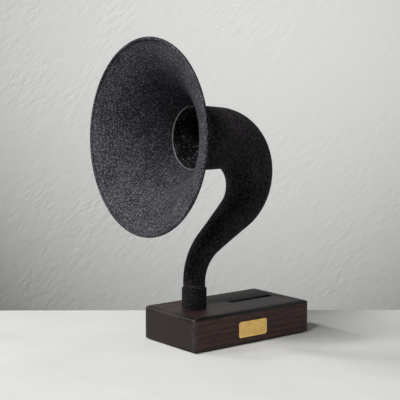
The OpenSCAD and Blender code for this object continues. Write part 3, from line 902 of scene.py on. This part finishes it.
def floorMaterial():
    # pale to the eye, but it throws less light back on the object; under the window its tone goes
    # down as painted shade
    material, sheet, shader = mattMaterial("floorPaint")
    shader.inputs["Specular IOR Level"].default_value = 0.1
    place = sheet.coordinates()
    clouds = sheet.remap(sheet.noise(place, 9.0, 4.0), 0.3, 0.7)
    paint = sheet.blend(clouds, studio["floorTone"], studio["floorShade"])
    # painted shade on the floor under the window
    dim = sheet.remap(sheet.apart(place)["X"], studio["dimFrom"], studio["dimTo"])
    paint = sheet.blend(dim, paint, studio["floorDim"])
    paint = sheet.blend(seenDirectly(sheet), studio["floorBounce"], paint)
    sheet.join(paint, shader.inputs["Base Color"])
    return material


plaster = {
    "hazeHeight": 0.45, "haze": 0.42, "hazePower": 1.8,  # darker towards the floor
    "poolCentre": 0.02, "poolReach": 0.33, "sideDark": 0.17, "lowSideDark": 0.25, "mostDark": 0.6,
    "rakeShift": 0.0012, "strokeScale": 90.0, "strokeStretch": 0.45,
    "lumpScale": 38.0, "lumpShare": 0.25, "patchScale": 14.0, "relief": 0.8,
}


def wallLight(sheet, across, low):
    # a pool of light behind the object that falls off to both sides and downwards
    fade = sheet.times(sheet.power(low, plaster["hazePower"]), plaster["haze"])
    offPool = sheet.over(sheet.minus(across, plaster["poolCentre"]), plaster["poolReach"])
    side = sheet.power(offPool, 2.0)
    lowEdge = sheet.times(sheet.power(low, 2.0), plaster["lowSideDark"])
    edge = sheet.times(side, sheet.plus(plaster["sideDark"], lowEdge))
    edge = sheet.smaller(edge, plaster["mostDark"])
    return sheet.times(sheet.minus(1.0, fade), sheet.minus(1.0, edge))


def wallRelief(sheet, place, across, height, low):
    # slanting trowel strokes and soft lumps, each lit as the difference of two drawings
    # a hair apart, and strongest at the left and near the floor
    strokes, lumps = [], []
    for shift in (0.0, plaster["rakeShift"]):
        drawn = sheet.add("ShaderNodeCombineXYZ")
        slant = sheet.times(sheet.plus(across, height), plaster["strokeStretch"])
        sheet.join(slant, drawn.inputs["X"])
        sheet.join(sheet.plus(sheet.minus(across, height), shift), drawn.inputs["Y"])
        strokes.append(sheet.noise(drawn.outputs[0], plaster["strokeScale"], 5.0, 0.6))
        flat = sheet.add("ShaderNodeCombineXYZ")
        sheet.join(sheet.plus(across, shift), flat.inputs["X"])
        sheet.join(sheet.minus(height, shift), flat.inputs["Y"])
        lumps.append(sheet.noise(flat.outputs[0], plaster["lumpScale"], 4.0, 0.55))
    patches = sheet.remap(sheet.noise(place, plaster["patchScale"], 3.0), 0.4, 0.7, 0.1, 1.0)
    relief = sheet.times(sheet.minus(*strokes), patches)
    relief = sheet.plus(relief, sheet.times(sheet.minus(*lumps), plaster["lumpShare"]))
    atLeft = sheet.remap(across, -0.3, 0.1, 2.2, 0.9)
    raked = sheet.plus(atLeft, sheet.remap(low, 0.2, 0.9, 0.0, 1.2))
    return sheet.times(sheet.times(relief, raked), plaster["relief"])


def wallMaterial():
    # seen by the camera as a glow of trowelled plaster with painted relief and a painted pool of
    # light;
    # the light of the pane behind it comes through, and from its back it can't be seen
    material, sheet, shader = mattMaterial("wallPlaster")
    shader.inputs["Base Color"].default_value = studio["wallBounce"]
    place = sheet.coordinates()
    spot = sheet.apart(place)
    across = sheet.plus(sheet.times(spot["X"], right.x), sheet.times(spot["Y"], right.y))
    low = sheet.remap(spot["Z"], 0.0, plaster["hazeHeight"], 1.0, 0.0)
    glow = sheet.add("ShaderNodeEmission")
    glow.inputs["Color"].default_value = studio["wallTone"]
    relief = wallRelief(sheet, place, across, spot["Z"], low)
    strength = sheet.times(wallLight(sheet, across, low), sheet.plus(1.0, relief))
    sheet.join(strength, glow.inputs["Strength"])
    behind = sheet.add("ShaderNodeNewGeometry").outputs["Backfacing"]
    openTo = sheet.larger(sheet.add("ShaderNodeLightPath").outputs["Is Shadow Ray"], behind)
    clear = sheet.add("ShaderNodeBsdfTransparent").outputs["BSDF"]
    shown = sheet.mixShaders(seenDirectly(sheet), shader.outputs["BSDF"], glow.outputs["Emission"])
    through = sheet.mixShaders(openTo, shown, clear)
    sheet.join(through, material.node_tree.nodes["Material Output"].inputs["Surface"])
    return material


def makeStage():
    floorSize, wallHeight = studio["floorSize"], studio["wallHeight"]
    stagePlane("studioFloor", floorSize, floorSize, Matrix.Identity(4), floorMaterial())
    foot = studio["eye"] + forward * studio["wallAway"]
    stand = Matrix.Translation((foot.x, foot.y, wallHeight / 2))
    stand = stand @ Matrix.Rotation(math.radians(studio["wallTurn"]) - yaw, 4, "Z")
    stand = stand @ Matrix.Rotation(math.radians(90), 4, "X")
    stagePlane("studioWall", studio["wallWidth"], wallHeight, stand, wallMaterial())


# a window of three panes on the left, in line with the base's end: bright near the camera
# and behind the wall, dim between
window = {
    "x": -3.281, "z": 3.221, "aimX": 0.1, "aimZ": 0.046,
    "height": 0.3, "colour": (1.0, 0.995, 0.985),
    # name, y of its middle, width and power
    "panes": [
        ("nearPane", -0.75, 2.2, 170), ("middlePane", 2.2, 1.5, 50), ("farPane", 5.6, 1.7, 155)],
}
# a pale card low in front, for the face with the plate
card = {
    "place": Vector((1.3, -1.7, 0.32)), "aim": Vector((0, 0, 0.03)), "width": 1.6, "height": 0.5,
    "power": 4, "colour": (1.0, 1.0, 1.0),
}


def softLamp(name, place, aim, width, height, power, colour):
    lamp = bpy.data.lights.new(name, "AREA")
    lamp.shape = "RECTANGLE"
    lamp.size = width
    lamp.size_y = height
    lamp.energy = power
    lamp.color = colour
    lamp.cycles.use_multiple_importance_sampling = False
    holder = inScene(name, lamp)
    holder.location = place
    holder.rotation_euler = (aim - place).to_track_quat("-Z", "Y").to_euler()


def makeLamps():
    for name, along, width, power in window["panes"]:
        place = Vector((window["x"], along, window["z"]))
        aim = Vector((window["aimX"], along, window["aimZ"]))
        softLamp(name, place, aim, width, window["height"], power, window["colour"])
    softLamp("frontCard", **card)


def makeAir():
    # room light: pale near the horizon, dim overhead
    world = bpy.data.worlds.new("studioAir")
    world.use_nodes = True
    sheet = NodeSheet(world.node_tree)
    height = sheet.apart(sheet.coordinates("Generated"))["Z"]
    rise = sheet.remap(height, 0.05, 0.6)
    tone = sheet.blend(rise, studio["horizonTone"], studio["overheadTone"])
    sheet.join(tone, world.node_tree.nodes["Background"].inputs["Color"])
    bpy.context.scene.world = world


def makeCamera():
    lens = bpy.data.cameras.new("photoCamera")
    lens.lens = studio["lens"]
    lens.sensor_width = studio["sensor"]
    lens.clip_start = studio["clipStart"]
    camera = inScene("photoCamera", lens)
    camera.location = studio["eye"]
    camera.rotation_euler = (math.radians(90) - pitch, 0, -yaw)
    bpy.context.scene.camera = camera
    bpy.context.scene.view_settings.view_transform = "Standard"


makeStage()
makeLamps()
makeAir()
makeCamera()
print("stage, light and camera set")
